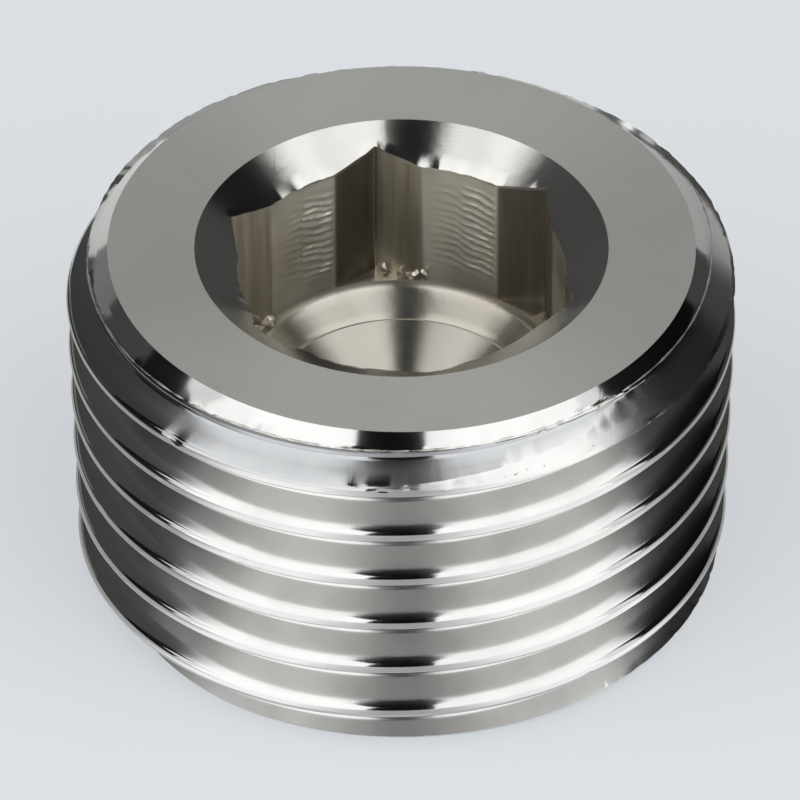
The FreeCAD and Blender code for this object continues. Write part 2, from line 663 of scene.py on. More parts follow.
def chatter(tree, size, aside, flat_end, azimuth, height):
    """How far the broach's chatter stands in from the drilled wall."""
    depth = size["Plug Height"] - height
    patch = vector_of(tree, azimuth * CHATTER_PATCHES_ROUND, depth / CHATTER_PATCH, 0.5)
    uneven = noise_at(tree, patch, 1.0, 2.0)
    phase = depth / CHATTER_PITCH + aside * CHATTER_SLANT + uneven * CHATTER_WANDER
    scallop = unsigned(sine(phase * math.pi))
    along = aside - flat_end + aside.calc("LESS_THAN", 0.0) * CORNER_STEP
    past_flat = is_over(aside + flat_end, -CORNER_STEP) * is_over(unsigned(aside), flat_end + BESIDE_FLAT)
    on_wall = past_flat * between(along, *CHATTER_FADE)
    down = between(depth, *CHATTER_TOP) * between(depth, *CHATTER_BOTTOM)
    return (1 - scallop) * on_wall * down * CHATTER_HEIGHT * (CHATTER_LEAST + uneven)


def column_direction(size, column):
    """A column's azimuth, its angle from the nearest corner, and the angle at which the flats end.

    Columns are even, but those beside the end of a flat move onto it.
    """
    step = FULL_TURN / size["Columns"]
    corner = rounded(column * step / CORNER_STEP) * CORNER_STEP
    aside = column * step - corner
    flat_end = CORNER_STEP / 2 - (size["Across Flats"] / 2 / size["Pilot Radius"]).calc("ARCCOSINE")
    miss = flat_end - unsigned(aside)
    near = unsigned(miss).calc("LESS_THAN", step / 2)
    aside = aside + near * miss * aside.calc("SIGN")
    return corner + aside + size["Socket Turn"] + BACK, aside, flat_end


def thread_row_count(size):
    """Rows of the grid along the thread."""
    return size["Turns"] * size["Rows per Turn"]


def outside_point(tree, size, row, azimuth):
    """Radius and height on the worn outside. The first row is the small end's centre."""
    turned = (azimuth - (FRONT + FULL_TURN)) / FULL_TURN
    radius, height = thread_point(size, lower(row - 1, thread_row_count(size)), turned)
    burr = back_burr(tree, size, height, azimuth, turned)
    radius = radius - thread_wear(tree, size, radius, height, azimuth, turned) + burr * BACK_BURR_LEAN
    radius = lower(radius, crest_line(size, height)) * lower(row, 1.0)
    return radius, lower(height + burr, size["Plug Height"])


def moved_inside(size, row, from_corner, radius, height):
    """Radius and height of the outside's last row, moved on over the face and down the socket."""
    corners = profile_inside(size, from_corner)
    start = thread_row_count(size) + 1
    for here, there in zip(corners, corners[1:]):
        done = between(row, start, start + here[2])
        radius = radius + done * (there[0] - here[0])
        height = height + done * (there[1] - here[1])
        start = start + here[2]
    return radius, height


def worn_socket(tree, size, row, direction, radius, height):
    """Radius and height with the broach's chatter and the broken edge round the hexagon's mouth."""
    azimuth, aside, flat_end = direction
    face_row = thread_row_count(size) + 1
    in_socket = is_over(row, face_row + FACE_ROWS)
    radius = radius - chatter(tree, size, aside, flat_end, azimuth, height) * in_socket
    broken = noise_at(tree, round_place(tree, radius, azimuth, height), BROKEN_SCALE, 3.0)
    from_edge = unsigned(row - (face_row + FACE_ROWS + CONE_ROWS))
    at_edge = between(from_edge, BROKEN_ROWS, 0.0) * is_over(radius, size["Pilot Radius"] - CLOSE_BY)
    return radius, height - at_edge * between(broken, *BROKEN_BITE) * BROKEN_DEPTH


def body_tree():
    """The skin of the plug on a grid of columns and rows."""
    tree, size = geometry_tree("Plug Skin", BODY_NUMBERS, BODY_COUNTS, BODY_MATERIALS)
    rows = thread_row_count(size) + 1 + INNER_ROWS
    grid, across_grid, up_grid = flat_grid(tree, size["Columns"], rows)
    row = rounded(up_grid * rows)
    direction = column_direction(size, rounded(across_grid * size["Columns"]))
    azimuth, aside = direction[:2]
    radius, height = outside_point(tree, size, row, azimuth)
    radius, height = moved_inside(size, row, unsigned(aside), radius, height)
    radius, height = worn_socket(tree, size, row, direction, radius, height)
    skin = folded(tree, grid, round_place(tree, radius, azimuth, height), TOLERANCE)
    skin = with_walls(tree, size, with_polish(tree, size, shaded(tree, skin, SHARP_BODY)))

    x, y, up = parts_of(tree, mesh_place(tree))
    in_mouth = is_over(size["Mouth Radius"] + TOLERANCE, from_axis(x, y))
    skin = painted(tree, skin, size["Thread Finish"])
    skin = painted(tree, skin, size["Socket Finish"], in_mouth * is_over(up, size["Bottom Chamfer"]))
    skin = painted(tree, skin, size["End Face Finish"], is_over(up, size["Plug Height"] - TOLERANCE))
    finish_tree(tree, skin)
    return tree


def with_polish(tree, size, geometry):
    """Stores the roughness of the outside, and where a dimmer, bluish reflection is painted on the topmost
    groove.
    """
    x, y, height = parts_of(tree, mesh_place(tree))
    seam = size["Socket Turn"] + BACK
    turned = ((y.calc("ARCTAN2", x) - seam) / FULL_TURN).calc("FRACT") + (seam - FRONT) / FULL_TURN - 1
    from_first = turns_from_first(size, height, turned)
    distance = unsigned(from_first - rounded(from_first)) * size["Pitch"]
    crest = between(distance, *POLISHED_CREST)
    rim = between(size["Plug Height"] - height, *POLISHED_CHAMFER)
    on_chamfer = between(chamfer_radius(size, height) - from_axis(x, y), CLOSE_BY, 0.0)
    rough = CUT_GROOVE + crest * (POLISHED - CUT_GROOVE)
    rough = rough + on_chamfer * (TURNED_CHAMFER - rough)
    top = in_top_groove(from_first, turned)
    rough = rough + higher(rim, between(from_first, *POLISHED_FROM) * top) * (POLISHED - rough)
    # Painted shade: the topmost groove's flank, off the chamfer, is marked for a darker, bluish tint that
    # stands for a dimmer reflection there
    scuffed = between(from_first, *PAINTED_DULL_FROM) * top * (1 - on_chamfer)
    geometry = stored(tree, geometry, "scuffed", scuffed)
    return stored(tree, geometry, "roughness", rough)


def with_walls(tree, size, geometry):
    """Stores what cut the socket: the drill's wall and cone, and the broached flats on either side."""
    x, y, height = parts_of(tree, mesh_place(tree))
    across = from_axis(x, y)
    azimuth = y.calc("ARCTAN2", x) - size["Socket Turn"] - BACK
    side = (azimuth - rounded(azimuth / CORNER_STEP) * CORNER_STEP).calc("SIGN")
    below_mouth = size["Plug Height"] - (size["Mouth Radius"] - across) * cone_slope(size) - height
    inside = between(below_mouth, *WALL_START)
    foot = size["Plug Height"] - size["Socket Depth"]
    pointed = between(height, foot + CONE_BLEND, foot - CONE_BLEND)
    flat = between(across - size["Pilot Radius"], *FLAT_START) * inside
    geometry = stored(tree, geometry, "pointed", pointed)
    geometry = stored(tree, geometry, "drilled", inside * (1 - flat) * (1 - pointed))
    geometry = stored(tree, geometry, "left_flat", flat * higher(side, 0.0))
    return stored(tree, geometry, "right_flat", flat * higher(-side, 0.0))


def body_values(sizes, materials=()):
    """What the inputs of the trees are set to."""
    names = BODY_LENGTHS + BODY_SLOPES + BODY_COUNTS
    values = {name: getattr(sizes, name.lower().replace(" ", "_")) for name in names}
    below = math.ceil((sizes.plug_height - sizes.first_crest_drop) / sizes.pitch + TURNS_PAST)
    above = math.ceil(sizes.first_crest_drop / sizes.pitch + TURNS_PAST)
    values["Turns Below"] = float(below)
    values["Turns"] = float(below + above)
    values.update(zip(BODY_MATERIALS, materials))
    return values


# Chips and burrs

# Chips of the broach: how many, how big, how far from the corner, above the flat's foot and sunk in it
CHIPS_PER_CORNER = 6
CHIP_SIZES = (0.08 * MM, 0.3 * MM)
CHIP_ASIDE = (-17 * DEGREE, -1 * DEGREE)
CHIP_RISE = 0.4 * MM
CHIP_SUNK = 0.02 * MM

# Burrs: how many, how big, over which turns, how far above the crest, and how they keep inside the solid
BURRS = 30
BURR_SIZES = (0.015 * MM, 0.045 * MM)
BURR_TURNS = (-0.19, 0.1)
BURR_RISE = (0.02 * MM, 0.16 * MM)
BURR_SUNK = 0.012 * MM
BURR_BELOW_FACE = 0.12 * MM
BURR_BELOW_CREST = 0.1 * MM

# The bead along the lip of the topmost groove
BEAD_COLUMNS = 480
BEAD_SIDES = 8
BEAD_TURNS = (-0.36, 0.34)
BEAD_RADIUS = 0.055 * MM
BEAD_ENDS = 0.04
BEAD_LUMPS_PER_TURN = 160
BEAD_THICKNESS = (0.3, 0.75)

# Steps in which the lip's height is closed in on, and the turns above a crest at which they start
LIP_STEPS = 6
LIP_START = 0.75

# How torn a lump is
TORN_SCALE = 4200.0
TORN_PUSH = 1.3


def random_number(tree, low, high, seed):
    """A number between two, of its own for each point."""
    node = add_node(tree, "FunctionNodeRandomValue", {2: low, 3: high, "Seed": seed}, data_type="FLOAT")
    return Number(tree, node.outputs[1])


def chip_place(tree, size, index):
    """Where the broach's chips lie: at the foot of each flat, on the clockwise side of the corners."""
    corner = (index / CHIPS_PER_CORNER).calc("FLOOR")
    aside = random_number(tree, *CHIP_ASIDE, 1)
    azimuth = corner * CORNER_STEP + size["Socket Turn"] + BACK + aside
    wall_radius = higher(hexagon_radius(size, -aside), size["Pilot Radius"])
    height = size["Plug Height"] - size["Socket Depth"] + random_number(tree, 0.0, CHIP_RISE, 2)
    return azimuth, wall_radius - CHIP_SUNK, height


def lip_height(size, turned):
    """Height at which the topmost groove breaks out of the chamfer, closed in on step by step."""
    height = size["Plug Height"] - size["First Crest Drop"] + (turned + LIP_START) * size["Pitch"]
    steepness = 1 + 1 / tangent(size["Flank Angle"])
    for step in range(LIP_STEPS):
        height = lower(height, size["Plug Height"])
        height = height - groove_inset(size, height, turned) / steepness
    return height


def burr_place(tree, size, index):
    """Where burrs stand: along the first turn of the thread and the edge it cuts in the chamfer."""
    turned = random_number(tree, *BURR_TURNS, 3)
    crest = size["Plug Height"] - size["First Crest Drop"] + turned * size["Pitch"]
    crest = crest + random_number(tree, *BURR_RISE, 4)
    on_lip = (index / 2).calc("FRACT") * 2
    height = crest + on_lip * (lip_height(size, turned) - crest)
    height = lower(height, size["Plug Height"] - BURR_BELOW_FACE)
    radius = lower(groove_radius(size, height, turned), chamfer_radius(size, height))
    radius = lower(radius, crest_line(size, height) - BURR_BELOW_CREST)
    return turned * FULL_TURN + FRONT, radius - BURR_SUNK, height


def bead_tree():
    """A thin uneven bead that follows the lip of the topmost groove."""
    tree, size = geometry_tree("Lip Bead", BODY_NUMBERS, (), ("Finish",))
    grid, along, around = flat_grid(tree, BEAD_COLUMNS, BEAD_SIDES)
    around = around * FULL_TURN
    turned = BEAD_TURNS[0] + along * (BEAD_TURNS[1] - BEAD_TURNS[0])
    height = lip_height(size, turned)
    uneven = noise_at(tree, vector_of(tree, turned * BEAD_LUMPS_PER_TURN, 0.5, 0.5), 1.0, 3.0)
    ends = between(along, 0.0, BEAD_ENDS) * between(along, 1.0, 1 - BEAD_ENDS)
    thickness = between(uneven, *BEAD_THICKNESS) * ends * BEAD_RADIUS
    radius = lower(chamfer_radius(size, height), crest_line(size, height) - BEAD_RADIUS)
    radius = radius + thickness * cosine(around)
    height = lower(height + thickness * sine(around), size["Plug Height"])
    place = round_place(tree, radius, turned * FULL_TURN + FRONT, height)
    bead = shaded(tree, folded(tree, grid, place, TOLERANCE / 2), SHARP_BEAD)
    finish_tree(tree, painted(tree, bead, size["Finish"]))
    return tree


def scatter_tree(name, place):
    """Small torn lumps at points that follow a rule."""
    tree, size = geometry_tree(name, BODY_NUMBERS + ("Smallest", "Largest"), ("Count",), ("Finish",))
    line = add_node(tree, "GeometryNodeMeshLine", {"Count": size["Count"]})
    index = Number(tree, tree.nodes.new("GeometryNodeInputIndex").outputs[0])
    azimuth, radius, height = place(tree, size, index)
    points = add_node(tree, "GeometryNodeSetPosition", {
        "Geometry": line.outputs[0], "Position": round_place(tree, radius, azimuth, height),
    })
    lump = add_node(tree, "GeometryNodeMeshIcoSphere", {"Radius": 1.0, "Subdivisions": 2})
    turn = add_node(tree, "FunctionNodeRandomValue", {
        1: (FULL_TURN,) * 3, "Seed": 5,
    }, data_type="FLOAT_VECTOR")
    sizes = [random_number(tree, size["Smallest"], size["Largest"], seed) for seed in (6, 7, 8)]
    lumps = add_node(tree, "GeometryNodeInstanceOnPoints", {
        "Points": points.outputs[0], "Instance": lump.outputs[0],
        "Rotation": turn.outputs[0], "Scale": vector_of(tree, *sizes),
    })
    real = add_node(tree, "GeometryNodeRealizeInstances", {"Geometry": lumps.outputs[0]})
    texture = add_node(tree, "ShaderNodeTexNoise", {
        "Vector": mesh_place(tree), "Scale": TORN_SCALE, "Detail": 1.0,
    })
    centred = add_node(tree, "ShaderNodeVectorMath", {
        0: texture.outputs["Color"], 1: (0.5,) * 3,
    }, operation="SUBTRACT")
    push = add_node(tree, "ShaderNodeVectorMath", {
        0: centred.outputs[0], "Scale": size["Largest"] * TORN_PUSH,
    }, operation="SCALE")
    torn = add_node(tree, "GeometryNodeSetPosition", {"Geometry": real.outputs[0], "Offset": push.outputs[0]})
    finish_tree(tree, painted(tree, shaded(tree, torn.outputs[0], SHARP_LUMP), size["Finish"]))
    return tree


# Materials

# How deep the fine relief is
THREAD_RELIEF = 0.0012 * MM
SOCKET_RELIEF = 0.003 * MM
FACE_RELIEF = 0.002 * MM

# The plating's patterns, as repeats to a metre, and how much of the relief each of them makes
CLOUD_SCALE = 420.0
STAIN_SCALE = 260.0
GRAIN_SCALE = 9000.0
RIPPLE_SCALE = 1500.0
SCRATCH_SCALE = 800.0
TURNING_SCALE = 12000.0
STREAK_SCALE = 2600.0
GRAIN = 0.12
RIPPLE = 0.9
SCRATCHES = 0.3
TURNING_MARKS = 0.3
SCRATCH_TURN = 40 * DEGREE
STAIN_SPREAD = (0.46, 0.72)
STREAK_SPREAD = (0.4, 0.68)
STREAK_STRETCH = (1.0, 1.0, 0.06)

# Roughness in the socket and on the end face, and what the clouds and each kind of cut add to it
SOCKET_ROUGH = 0.12
SOCKET_CLOUDS = 0.08
DRILLED_ROUGH = 0.24
POINTED_ROUGH = 0.09
BROACHED_ROUGH = 0.2
FACE_ROUGH = 0.33
FACE_CLOUDS = 0.1
TORN_ROUGH = 0.2
TORN_CLOUDS = 0.2

# How far the gloss is drawn out across the turning marks
SOCKET_BRUSHED = 0.7
FACE_BRUSHED = 0.6

# How much darker stained plating is, and the tint of the painted dimmer, bluish reflection in the topmost
# groove
STAINED_THREAD = 0.86
STAINED_FACE = 0.9
PAINTED_DULL_TINT = (0.68, 0.7, 0.73)

WEAR = "Plating Wear"


def new_material(name):
    """An empty metal material, its node tree and its Principled BSDF."""
    material = bpy.data.materials.new(name)
    material.use_nodes = True
    tree = material.node_tree
    shader = tree.nodes["Principled BSDF"]
    shader.inputs["Metallic"].default_value = 1.0
    return material, tree, shader


def noise(tree, place, scale, detail, stretch=(1.0, 1.0, 1.0)):
    """Noise over a surface, as a Number from 0 to 1."""
    mapping = add_node(tree, "ShaderNodeMapping", {"Vector": place, "Scale": stretch})
    texture = add_node(tree, "ShaderNodeTexNoise", {
        "Vector": mapping.outputs[0], "Scale": scale, "Detail": detail, "Roughness": 0.6,
    })
    return Number(tree, texture.outputs["Fac"])


def scratches(tree, place, scale, turn):
    """Long thin lines in one direction, 1 on a line and 0 off it."""
    mapping = add_node(tree, "ShaderNodeMapping", {
        "Vector": place, "Scale": (1.0, 0.03, 0.35), "Rotation": (0.0, 0.0, turn),
    })
    cells = add_node(tree, "ShaderNodeTexVoronoi", {
        "Vector": mapping.outputs[0], "Scale": scale, "Randomness": 1.0,
    }, feature="DISTANCE_TO_EDGE")
    line = between(Number(tree, cells.outputs["Distance"]), 0.035, 0.0)
    return line * between(noise(tree, place, scale * 0.5, 1.0), 0.5, 0.62)


def turning_marks(tree, place):
    """Fine rings round the axis that the lathe's tools left, from 0 to 1."""
    x, y, height = parts_of(tree, place)
    return noise(tree, vector_of(tree, from_axis(x, y) + height * 0.7), TURNING_SCALE, 2.0)


def plating_group():
    """Clouds, stains and the fine relief that every plated surface shares, built once."""
    if WEAR in bpy.data.node_groups:
        return bpy.data.node_groups[WEAR]
    group = bpy.data.node_groups.new(WEAR, "ShaderNodeTree")
    for name in ("Scratches", "Turning Marks"):
        group.interface.new_socket(name=name, in_out="INPUT", socket_type="NodeSocketFloat")
    for name in ("Clouds", "Stains", "Relief"):
        group.interface.new_socket(name=name, in_out="OUTPUT", socket_type="NodeSocketFloat")
    scratched, turned = (Number(group, socket) for socket in group.nodes.new("NodeGroupInput").outputs[:2])
    place = object_place(group)
    clouds = noise(group, place, CLOUD_SCALE, 3.0)
    stains = between(noise(group, place, STAIN_SCALE, 3.0), *STAIN_SPREAD)
    grain = noise(group, place, GRAIN_SCALE, 1.0)
    ripple = noise(group, place, RIPPLE_SCALE, 1.0)
    lines = scratches(group, place, SCRATCH_SCALE, SCRATCH_TURN)
    relief = grain * GRAIN + ripple * RIPPLE - lines * scratched + turning_marks(group, place) * turned
    leave = group.nodes.new("NodeGroupOutput")
    for socket, value in zip(leave.inputs, (clouds, stains, relief)):
        put(group, socket, value)
    return group


def plated_material(name, tint, relief):
    """Plated metal with the shared wear laid on, its tree, its shader, and the clouds and stains."""
    material, tree, shader = new_material(name)
    shared = add_node(tree, "ShaderNodeGroup", node_tree=plating_group())
    shared.inputs["Scratches"].default_value = SCRATCHES
    shared.inputs["Turning Marks"].default_value = TURNING_MARKS
    clouds, stains, height = (Number(tree, socket) for socket in shared.outputs)
    shader.inputs["Base Color"].default_value = (*tint, 1.0)
    bump = add_node(tree, "ShaderNodeBump", {"Height": height, "Strength": 1.0, "Distance": relief})
    put(tree, shader.inputs["Normal"], bump.outputs[0])
    return material, tree, shader, clouds, stains


def brush_round(tree, shader, amount):
    """Draws the gloss out across marks that run round the axis."""
    shader.inputs["Anisotropic"].default_value = amount
    shader.inputs["Anisotropic Rotation"].default_value = 0.25
    round_axis = add_node(tree, "ShaderNodeTangent", direction_type="RADIAL", axis="Z")
    put(tree, shader.inputs["Tangent"], round_axis.outputs[0])


def attribute(tree, name):
    """A value stored on the mesh."""
    return Number(tree, add_node(tree, "ShaderNodeAttribute", attribute_name=name).outputs["Fac"])


def blended(tree, share, first, second):
    """A colour between two, by a share from 0 to 1."""
    return add_node(tree, "ShaderNodeMixRGB", {0: share, 1: first, 2: (*second, 1.0)}).outputs[0]


def times(tint, *parts):
    """A colour made darker, by one share or by one for each part of it."""
    return tuple(value * part for value, part in zip(tint, parts * 3))


def thread_material(tint):
    """Bright plating, mirror-like on the crests and satin in the grooves, with a painted dimmer, bluish
    reflection on the topmost groove.
    """
    material, tree, shader, clouds, stains = plated_material("bright_nickel", tint, THREAD_RELIEF)
    put(tree, shader.inputs["Roughness"], attribute(tree, "roughness") * (0.8 + clouds * 0.4))
    base = blended(tree, stains, (*tint, 1.0), times(tint, STAINED_THREAD))
    # Painted shade: the topmost groove is darkened and tinted bluish to stand for a dimmer reflection there
    scuffed = lower(attribute(tree, "scuffed") * (0.6 + clouds * 0.7), 1.0)
    put(tree, shader.inputs["Base Color"], blended(tree, scuffed, base, times(tint, *PAINTED_DULL_TINT)))
    return material


def socket_material(finish):
    """Plating in the socket: bright in the countersink, thin and stained where drill and broach cut."""
    tint = finish.socket_nickel
    material, tree, shader, clouds, stains = plated_material("socket_nickel", tint, SOCKET_RELIEF)
    pointed = attribute(tree, "pointed")
    drilled = attribute(tree, "drilled")
    left_flat = attribute(tree, "left_flat")
    right_flat = attribute(tree, "right_flat")
    brush_round(tree, shader, SOCKET_BRUSHED)
    rough = SOCKET_ROUGH + clouds * SOCKET_CLOUDS + drilled * DRILLED_ROUGH + pointed * POINTED_ROUGH
    put(tree, shader.inputs["Roughness"], rough + (left_flat + right_flat) * BROACHED_ROUGH)
    base = blended(tree, pointed, (*tint, 1.0), finish.drilled_point)
    base = blended(tree, drilled, base, finish.drilled_wall)
    base = blended(tree, left_flat, base, finish.left_flat)
    base = blended(tree, right_flat, base, finish.right_flat)
    streaks = noise(tree, object_place(tree), STREAK_SCALE, 2.0, STREAK_STRETCH)
    streaks = between(streaks, *STREAK_SPREAD)
    stained = stains * (0.15 + drilled * 0.4 + pointed * 0.35)
    stained = lower(stained + streaks * (left_flat * 0.3 + right_flat * 0.6), 1.0)
    put(tree, shader.inputs["Base Color"], blended(tree, stained, base, finish.stain))
    return material


def face_material(tint):
    """Plating over a faced end, brushed round the axis by the facing tool."""
    material, tree, shader, clouds, stains = plated_material("satin_nickel", tint, FACE_RELIEF)
    brush_round(tree, shader, FACE_BRUSHED)
    put(tree, shader.inputs["Roughness"], FACE_ROUGH + clouds * FACE_CLOUDS)
    stained = blended(tree, stains * 0.6, (*tint, 1.0), times(tint, STAINED_FACE))
    put(tree, shader.inputs["Base Color"], stained)
    return material


def torn_material(tint):
    """Bright torn metal of chips and burrs."""
    material, tree, shader, clouds, stains = plated_material("torn_nickel", tint, SOCKET_RELIEF)
    put(tree, shader.inputs["Roughness"], TORN_ROUGH + clouds * TORN_CLOUDS)
    return material


class PLUG_OT_body(bpy.types.Operator):
    """Makes the plated body with its taper thread and hexagon socket, in place of the plain solid"""

    bl_idname = "plug.body"
    bl_label = "Plug Body"

    def execute(self, context):
        finish = context.scene.plug_finish
        materials = (
            thread_material(finish.nickel),
            face_material(finish.satin_nickel),
            socket_material(finish),
        )
        piece = finished_mesh("plug", body_tree(), body_values(context.scene.plug_sizes, materials))
        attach(piece, BODY)
        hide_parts(NODE)
        return {"FINISHED"}


def torn_piece(name, tree, values):
    """One piece of torn metal that rides on the body."""
    piece = finished_mesh(name, tree, values)
    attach(piece, BODY)


class PLUG_OT_burrs(bpy.types.Operator):
    """Scatters the broach's chips at the foot of the flats, and burrs along the first turn of the thread"""

    bl_idname = "plug.burrs"
    bl_label = "Chips and Burrs"

    def execute(self, context):
        values = body_values(context.scene.plug_sizes)
        values["Finish"] = torn_material(context.scene.plug_finish.torn_nickel)
        chips = {"Count": CORNERS * CHIPS_PER_CORNER, "Smallest": CHIP_SIZES[0], "Largest": CHIP_SIZES[1]}
        burrs = {"Count": BURRS, "Smallest": BURR_SIZES[0], "Largest": BURR_SIZES[1]}
        torn_piece("broach_chips", scatter_tree("Broach Chips", chip_place), values | chips)
        torn_piece("thread_burrs", scatter_tree("Thread Burrs", burr_place), values | burrs)
        torn_piece("lip_bead", bead_tree(), values)
        return {"FINISHED"}


# Stage

CAMERA_ELEVATION = 38.84 * DEGREE
CAMERA_DISTANCE = 652.4 * MM
CAMERA_LENS = 930.0
CAMERA_SENSOR = 36.0
AIM = Vector((-0.047 * MM, 0.0, 5.84 * MM))
FLOOR_HALF = 1.5
ROOM_GREY = 0.5

# Share of the floor that the camera and mirrors see at its own colour, so that its shadow is soft and light
FLOOR_OWN_SHARE = 0.5
FLOOR_ROUGH = 0.9

# Light from the floor in front, by the angle from the front: where it rises, and where it falls again
BOUNCE_DIM = 0.58
BOUNCE_STRONG = 1.5
BOUNCE_START = (4 * DEGREE, 24 * DEGREE)
BOUNCE_END = (62 * DEGREE, 46 * DEGREE)
BOUNCE_FARTHER_RIGHT = 14 * DEGREE

# Soft boxes overhead, by the slopes at which the plug sees their corners
PANEL_LIGHT = 1.7
PANEL_LIGHT_OVER_PLUG = 1.15
OVER_PLUG_BACKWARDS = (-0.14, -0.02)
OVER_PLUG_SIDEWAYS = (0.5, 0.36)
PANEL_BACK_FADE = (0.24, 0.08)
PANEL_HEIGHT = 0.4
GAP_HEIGHT = 0.45
LEFT_PANEL = (
    (-0.3, -1.2), (-0.27, -0.8), (-0.24, -0.42), (-0.18, -0.19), (-0.28, 0.03),
    (-0.55, 0.22), (-0.8, 0.2), (-1.5, -0.05), (-1.5, -1.2),
)
RIGHT_PANEL = (
    (0.17, -1.2), (1.5, -1.2), (1.5, -0.4), (0.97, -0.2), (0.95, 0.17),
    (0.08, 0.2), (0.08, -0.17), (0.14, -0.8),
)
BACK_STRIP = ((-0.3, 0.3), (0.3, 0.3), (0.3, 0.7), (-0.3, 0.7))
GAP_CARD = ((-0.3, -2.0), (0.2, -2.0), (0.2, 0.6), (-0.4, 0.6))

# How bright each plain card is
CARD_LIGHT = {
    "panel_light": PANEL_LIGHT,
    "side_panel_light": 1.2,
    "back_strip": 1.0,
    "low_grey_card": 0.25,
    "dim_card": 0.08,
    "dark_card": 0.005,
    "floor_shade": 0.05,
    "floor_near_shade": 0.5,
    "floor_back_shade": 0.8,
}

# Lit walls on either side, from the front backwards: light, and azimuths of the left and the right one.
# Azimuths count in degrees from the back, clockwise from above.
SIDE_WALLS = (
    ("panel_light", (-168, -138), (171, 142)),
    ("panel_light", (-138, -108), (142, 113)),
    ("side_panel_light", (-108, -78), (113, 84)),
)
SIDE_WALL_ELEVATIONS = (0, 41)
SIDE_WALL_DISTANCE = 0.5

# Upright cards that only the metal sees: name, light, azimuths, elevations in degrees, and distance
UPRIGHT_CARDS = (
    ("right_corner_flag", "dark_card", (84, 100), (0, 60), 0.4),
    ("left_corner_flag", "dark_card", (-94, -78), (19, 60), 0.4),
    ("left_corner_low_flag", "dark_card", (-102, -78), (0, 19), 0.4),
    ("right_flag", "dark_card", (50, 85), (0, 62), 0.7),
    ("right_back_flag", "dim_card", (29, 52), (0, 62), 0.75),
    ("left_flag", "dim_card", (-79, -50), (0, 62), 0.7),
    ("left_back_flag", "dim_card", (-52, -29), (0, 62), 0.75),
    ("right_low_flag", "dim_card", (18, 31), (0, 27), 0.8),
    ("left_low_flag", "dim_card", (-31, -18), (0, 27), 0.8),
    ("left_low_grey", "low_grey_card", (-60, -36), (0, 13), 0.38),
    ("right_low_grey", "dim_card", (45, 62), (0, 13), 0.38),
    ("front_flag", "dark_card", (171, 192), (0, 50), 0.4),
)

# Cards just over the floor that only the metal sees: name, light, azimuths, and radii in millimetres
FLOOR_CARDS = (
    ("floor_bounce", "floor_bounce", (100, 250), (11, 150)),
    ("left_shade", "floor_shade", (-110, -40), (35, 400)),
    ("right_behind_shade", "floor_near_shade", (0, 40), (11, 400)),
    ("left_behind_shade", "floor_back_shade", (-40, 0), (11, 400)),
    ("left_near_shade", "floor_near_shade", (-109, -40), (11, 35)),
    ("right_near_shade", "floor_near_shade", (40, 99), (11, 35)),
    ("right_shade", "floor_shade", (40, 100), (35, 400)),
    ("right_far_shade", "floor_shade", (100, 112), (150, 400)),
)
FLOOR_CARD_HEIGHT = 0.02 * MM
FLOOR_CARD_STEPS = 8


def glow_material(name, level):
    """A plain glowing card."""
    material = bpy.data.materials.new(name)
    material.use_nodes = True
    tree = material.node_tree
    tree.nodes.remove(tree.nodes["Principled BSDF"])
    glow = add_node(tree, "ShaderNodeEmission", {"Color": (1.0, 1.0, 1.0, 1.0), "Strength": level})
    tree.links.new(glow.outputs[0], tree.nodes["Material Output"].inputs["Surface"])
    return material


def bounce_material():
    """Light that the floor throws back, dim straight in front and at the sides and strong between them."""
    material = glow_material("floor_bounce", BOUNCE_STRONG)
    tree = material.node_tree
    x, y, z = parts_of(tree, object_place(tree))
    aside = unsigned(x.calc("ARCTAN2", -y))
    farther = is_over(x, 0.0) * BOUNCE_FARTHER_RIGHT
    level = between(aside, *BOUNCE_START) * between(aside - farther, *BOUNCE_END)
    put(tree, tree.nodes["Emission"].inputs["Strength"], BOUNCE_DIM + level * (BOUNCE_STRONG - BOUNCE_DIM))
    return material


def fading_panel_material():
    """A soft box that is weaker over the plug and fades out at its back edge."""
    material = glow_material("fading_panel_light", PANEL_LIGHT)
    tree = material.node_tree
    x, y, z = parts_of(tree, object_place(tree))
    over_plug = between(y / z, *OVER_PLUG_BACKWARDS) * between(unsigned(x) / z, *OVER_PLUG_SIDEWAYS)
    level = PANEL_LIGHT - over_plug * (PANEL_LIGHT - PANEL_LIGHT_OVER_PLUG)
    put(tree, tree.nodes["Emission"].inputs["Strength"], level * between(y / z, *PANEL_BACK_FADE))
    return material


def floor_material(tint):
    """A pale floor. Camera and mirror rays see part of it at its own colour."""
    material, tree, shader = new_material("floor_paint")
    shader.inputs["Metallic"].default_value = 0.0
    shader.inputs["Roughness"].default_value = FLOOR_ROUGH
    shader.inputs["Specular IOR Level"].default_value = 0.0
    shader.inputs["Base Color"].default_value = (*tint, 1.0)
    glow = add_node(tree, "ShaderNodeEmission", {"Color": (*tint, 1.0), "Strength": 1.0})
    path = tree.nodes.new("ShaderNodeLightPath")
    seen = Number(tree, path.outputs["Is Camera Ray"]) + Number(tree, path.outputs["Is Glossy Ray"])
    seen = lower(seen + Number(tree, path.outputs["Is Transmission Ray"]), 1.0)
    mixed = add_node(tree, "ShaderNodeMixShader", {
        0: seen * FLOOR_OWN_SHARE, 1: shader.outputs[0], 2: glow.outputs[0],
    })
    tree.links.new(mixed.outputs[0], tree.nodes["Material Output"].inputs["Surface"])
    return material


def stage_sheet(name, corners, material):
    """A flat sheet of the stage."""
    mesh = bpy.data.meshes.new(name)
    mesh.from_pydata(corners, [], [range(len(corners))])
    mesh.materials.append(material)
    sheet = bpy.data.objects.new(name, mesh)
    bpy.context.scene.collection.objects.link(sheet)
    return sheet


def stage_card(name, corners, material, only_reflected=True):
    """A flat card that the camera doesn't see."""
    card = stage_sheet(name, corners, material)
    card.visible_camera = False
    if only_reflected:
        card.visible_diffuse = False
        card.visible_shadow = False


def overhead(outline, height):
    """Corners of a card overhead, from the slopes at which the plug sees them."""
    return [(x * height, y * height, height) for x, y in outline]


